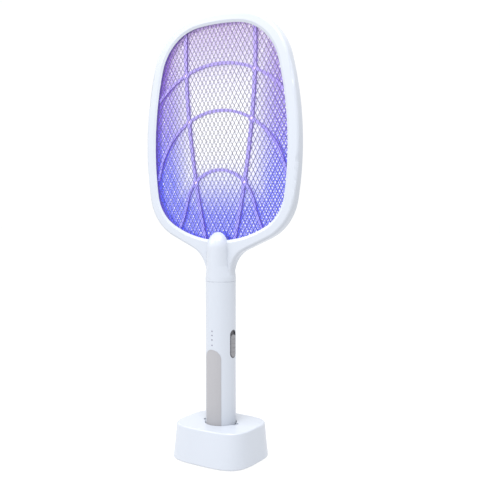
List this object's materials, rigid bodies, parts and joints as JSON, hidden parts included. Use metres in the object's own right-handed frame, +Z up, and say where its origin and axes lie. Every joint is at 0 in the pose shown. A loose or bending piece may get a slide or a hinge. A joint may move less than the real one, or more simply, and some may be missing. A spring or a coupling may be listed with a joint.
{
  "type": "electric fly swatter",
  "caption": "Rechargeable racket with a lit, mesh-covered high-voltage grid that kills flying insects, standing in its charging base.",
  "frame": {"origin": "middle of the charging base's footprint, on the surface that it stands on", "axes": "+Z up along the racket; the racket's front, with the grip inlay and indicator lights, faces -Y; the slide switch is on the +X side"},
  "size_m": [0.2142, 0.0874, 0.5179],
  "materials": {
    "white_shell": "satin white with a cool tint",
    "inner_white": "moulded, unpolished",
    "web_plastic": "pale lilac",
    "grip_grey": "soft matte grey",
    "switch_dark": "matte",
    "knob_grey": "matte, ridged",
    "switch_body": "pressed can",
    "light_pipe": "smoked, translucent",
    "mesh_metal": "expanded, grey",
    "grid_metal": "expanded, bright",
    "pin_plastic": "white",
    "lamp_lens": "clear violet epoxy",
    "circuit_board": "green solder mask",
    "lead_red": "insulated",
    "lead_black": "insulated",
    "ferrite": "dark ferrite and tape",
    "capacitor_film": "dipped film",
    "cell_wrap": "shrink-wrapped",
    "spring_steel": "plated",
    "contact_brass": "gold-plated",
    "port_steel": "plated shell",
    "screw_steel": "zinc-plated",
    "ballast_iron": "rough",
    "foot_rubber": "soft"
  },
  "bodies": {
    "base": {"base_shell": "white_shell", "base_plate": "inner_white", "socket_well": "inner_white", "pin_holder": "inner_white", "base_board": "circuit_board", "charge_port": "port_steel", "ballast_weights": "ballast_iron", "rubber_feet": "foot_rubber", "base_screws": "screw_steel", "left_pin_spring": "spring_steel", "right_pin_spring": "spring_steel"},
    "racket": {"battery_cell": "cell_wrap", "battery_contacts": "spring_steel", "charge_contacts": "contact_brass", "charging_leads": "lead_black", "end_cap": "white_shell", "frame_screws": "screw_steel", "front_frame": "white_shell", "front_mesh": "mesh_metal", "front_web": "web_plastic", "grid_leads": "lead_red", "grip_panel": "grip_grey", "handle_chassis": "inner_white", "handle_screws": "screw_steel", "handle_sleeve": "white_shell", "high_voltage_capacitor": "capacitor_film", "high_voltage_grid": "grid_metal", "high_voltage_transformer": "ferrite", "indicator_lights": "light_pipe", "lamp_board": "circuit_board", "lamp_leads": "lead_black", "main_board": "circuit_board", "rear_frame": "white_shell", "rear_mesh": "mesh_metal", "rear_web": "web_plastic", "slide_switch": "switch_body", "switch_bezel": "switch_dark", "uv_lamps": "lamp_lens", "web_pins": "pin_plastic"},
    "left_pin": {"left_charging_pin": "contact_brass"},
    "right_pin": {"right_charging_pin": "contact_brass"},
    "switch": {"switch_knob": "knob_grey"}
  },
  "joints": [
    {"name": "racket_lift", "type": "slide", "parent": "base", "child": "racket", "axis": [0, 0, 1], "range_m": [0, 0.045]},
    {"name": "switch_slide", "type": "slide", "parent": "racket", "child": "switch", "axis": [0, 0, 1], "range_m": [0, 0.0044]},
    {"name": "left_pin_press", "type": "slide", "parent": "base", "child": "left_pin", "axis": [0, 0, 1], "range_m": [-0.0015, 0], "stiffness_N_per_m": 250, "springref_m": 0.001, "deforming": ["left_pin_spring"]},
    {"name": "right_pin_press", "type": "slide", "parent": "base", "child": "right_pin", "axis": [0, 0, 1], "range_m": [-0.0015, 0], "stiffness_N_per_m": 250, "springref_m": 0.001, "deforming": ["right_pin_spring"]}
  ]
}
